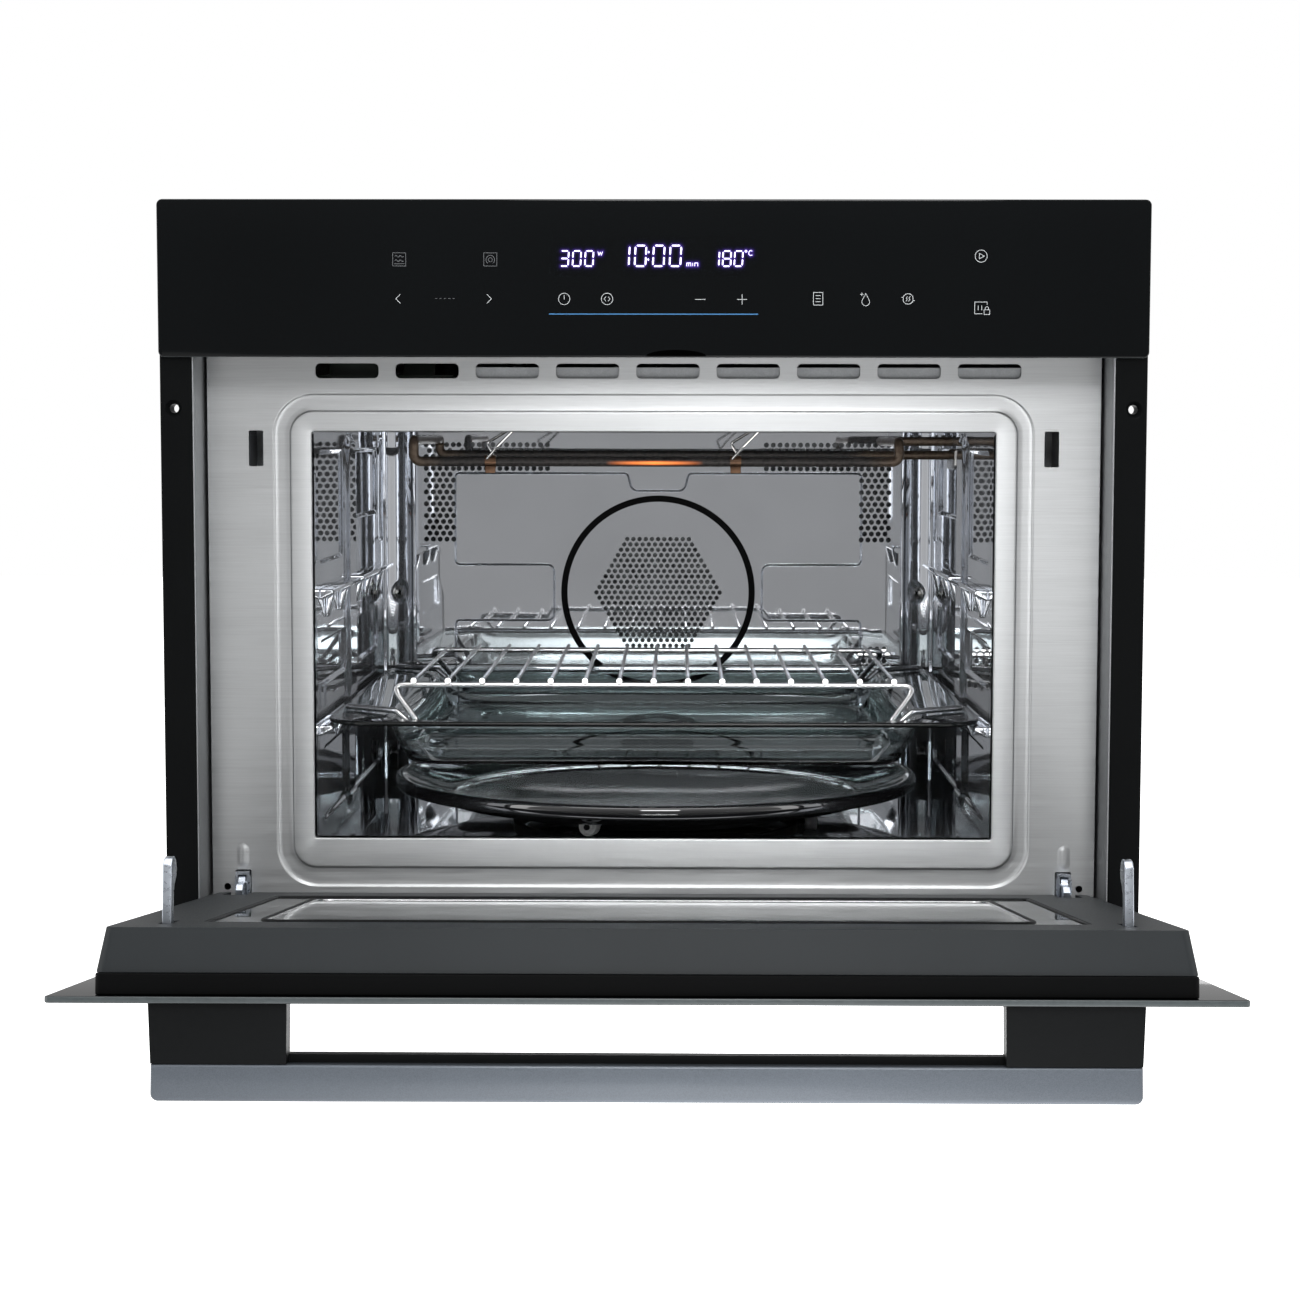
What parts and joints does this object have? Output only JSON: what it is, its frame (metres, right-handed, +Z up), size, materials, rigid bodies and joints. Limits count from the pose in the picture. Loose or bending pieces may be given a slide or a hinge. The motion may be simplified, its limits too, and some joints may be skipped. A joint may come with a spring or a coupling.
{
  "type": "built-in microwave combination oven",
  "caption": "Compact built-in combination oven with touch panel, drop-down glass door shown open, turntable, glass tray and wire rack.",
  "frame": {"origin": "on the underside of the housing, at the middle of its width, in the plane of the stainless front plate", "axes": "+X to the viewer's right, +Y into the oven, +Z up"},
  "size_m": [0.595, 0.8895, 0.4703],
  "materials": {
    "galvanised_steel": "dull zinc coating",
    "front_steel": "fine brushed",
    "cavity_steel": "bright polished",
    "black_glass": "gloss, back-printed black",
    "clear_glass": "clear",
    "black_paint": "satin black",
    "black_plastic": "satin",
    "charcoal_plastic": "fine grain",
    "handle_metal": "metallic lacquer, satin",
    "zinc_plate": "satin zinc",
    "chrome_wire": "polished",
    "heater_sheath": "dark oxidised, heat tinted at the bends",
    "copper_strap": "heat tinted",
    "dark_enamel": "gloss vitreous enamel",
    "white_polymer": "satin",
    "grey_polymer": "satin",
    "circuit_board": "solder mask",
    "screw_steel": "polished",
    "lamp_glass": "frosted"
  },
  "bodies": {
    "housing": {"base_plate": "galvanised_steel", "side_panel_left": "galvanised_steel", "side_panel_right": "galvanised_steel", "top_cover": "galvanised_steel", "rear_cover": "galvanised_steel", "front_plate": "front_steel", "side_trim_left": "black_paint", "side_trim_right": "black_paint", "panel_glass": "black_glass", "panel_carrier": "black_plastic", "display_module": "circuit_board", "cavity_side_left": "cavity_steel", "cavity_side_right": "cavity_steel", "cavity_ceiling": "cavity_steel", "cavity_floor": "cavity_steel", "cavity_back_wall": "cavity_steel", "fan_cover": "cavity_steel", "fan_seal_ring": "black_paint", "fan_chamber": "galvanised_steel", "ring_heater": "heater_sheath", "convection_motor": "galvanised_steel", "grill_heater": "heater_sheath", "heater_hangers": "copper_strap", "turntable_motor": "galvanised_steel", "magnetron": "galvanised_steel", "power_supply": "galvanised_steel", "control_board": "circuit_board", "blower_housing": "galvanised_steel", "blower_motor": "grey_polymer", "air_duct": "galvanised_steel", "terminal_block": "black_plastic", "oven_lamp": "lamp_glass", "latch_housing_left": "grey_polymer", "latch_housing_right": "grey_polymer", "hinge_bracket_left": "zinc_plate", "hinge_bracket_right": "zinc_plate", "cavity_screws": "screw_steel"},
    "door": {"door_glass": "black_glass", "door_base_frame": "black_plastic", "door_inner_frame": "charcoal_plastic", "door_inner_glass": "clear_glass", "door_screen": "black_paint", "handle_bar": "handle_metal", "handle_mount": "black_plastic", "hinge_knuckle_left": "zinc_plate", "hinge_knuckle_right": "zinc_plate"},
    "latch_left": {"latch_hook_left": "zinc_plate"},
    "latch_right": {"latch_hook_right": "zinc_plate"},
    "clip_left": {"hinge_clip_left": "zinc_plate"},
    "clip_right": {"hinge_clip_right": "zinc_plate"},
    "turntable": {"turntable_plate": "dark_enamel", "drive_coupler": "black_plastic"},
    "rollers": {"roller_ring": "black_plastic"},
    "roller_1": {"roller_1": "white_polymer"},
    "roller_2": {"roller_2": "white_polymer"},
    "roller_3": {"roller_3": "white_polymer"},
    "convection_rotor": {"convection_fan": "galvanised_steel"},
    "blower_rotor": {"blower_wheel": "grey_polymer"},
    "tray": {"glass_tray": "clear_glass"},
    "rack": {"wire_rack": "chrome_wire"}
  },
  "joints": [
    {"name": "door_hinge", "type": "hinge", "parent": "housing", "child": "door", "pos_m": [0, -0.0132, 0.0205], "axis": [-1, 0, 0], "range_deg": [0, 83]},
    {"name": "latch_left_tilt", "type": "hinge", "parent": "door", "child": "latch_left", "pos_m": [-0.2459, -0.29791, 0.05264], "axis": [1, 0, 0], "range_deg": [0, 5], "stiffness_Nm_per_rad": 0.1},
    {"name": "latch_right_tilt", "type": "hinge", "parent": "door", "child": "latch_right", "pos_m": [0.2459, -0.29791, 0.05264], "axis": [1, 0, 0], "range_deg": [0, 5], "stiffness_Nm_per_rad": 0.1},
    {"name": "clip_left_flip", "type": "hinge", "parent": "housing", "child": "clip_left", "pos_m": [-0.2562, -0.0026, 0.0352], "axis": [-1, 0, 0], "range_deg": [-50, 0]},
    {"name": "clip_right_flip", "type": "hinge", "parent": "housing", "child": "clip_right", "pos_m": [0.2562, -0.0026, 0.0352], "axis": [-1, 0, 0], "range_deg": [-50, 0]},
    {"name": "turntable_spin", "type": "hinge", "parent": "housing", "child": "turntable", "pos_m": [0, 0.212, 0.0609], "axis": [0, 0, 1], "continuous": true},
    {"name": "roller_ring_spin", "type": "hinge", "parent": "housing", "child": "rollers", "pos_m": [0, 0.212, 0.0543], "axis": [0, 0, 1], "continuous": true},
    {"name": "roller_1_spin", "type": "hinge", "parent": "rollers", "child": "roller_1", "pos_m": [-0.04308, 0.11002, 0.0543], "axis": [-0.3891, -0.9212, 0], "continuous": true},
    {"name": "roller_2_spin", "type": "hinge", "parent": "rollers", "child": "roller_2", "pos_m": [0.10985, 0.22568, 0.0543], "axis": [0.9923, 0.1236, 0], "continuous": true},
    {"name": "roller_3_spin", "type": "hinge", "parent": "rollers", "child": "roller_3", "pos_m": [-0.06678, 0.30029, 0.0543], "axis": [-0.6032, 0.7976, 0], "continuous": true},
    {"name": "convection_spin", "type": "hinge", "parent": "housing", "child": "convection_rotor", "pos_m": [0, 0.45, 0.1918], "axis": [0, 1, 0], "continuous": true},
    {"name": "blower_spin", "type": "hinge", "parent": "housing", "child": "blower_rotor", "pos_m": [0, 0.458, 0.388], "axis": [1, 0, 0], "continuous": true},
    {"name": "tray_slide", "type": "slide", "parent": "housing", "child": "tray", "axis": [0, 1, 0], "range_m": [-0.38, 0]},
    {"name": "rack_lift", "type": "slide", "parent": "tray", "child": "rack", "axis": [0, 0, 1], "range_m": [0, 0.06]}
  ],
  "couplings": [
    {"joint": "roller_ring_spin", "follows": "turntable_spin", "ratio": 0.5},
    {"joint": "roller_1_spin", "follows": "turntable_spin", "ratio": -8.7857},
    {"joint": "roller_2_spin", "follows": "turntable_spin", "ratio": -8.7857},
    {"joint": "roller_3_spin", "follows": "turntable_spin", "ratio": -8.7857}
  ]
}
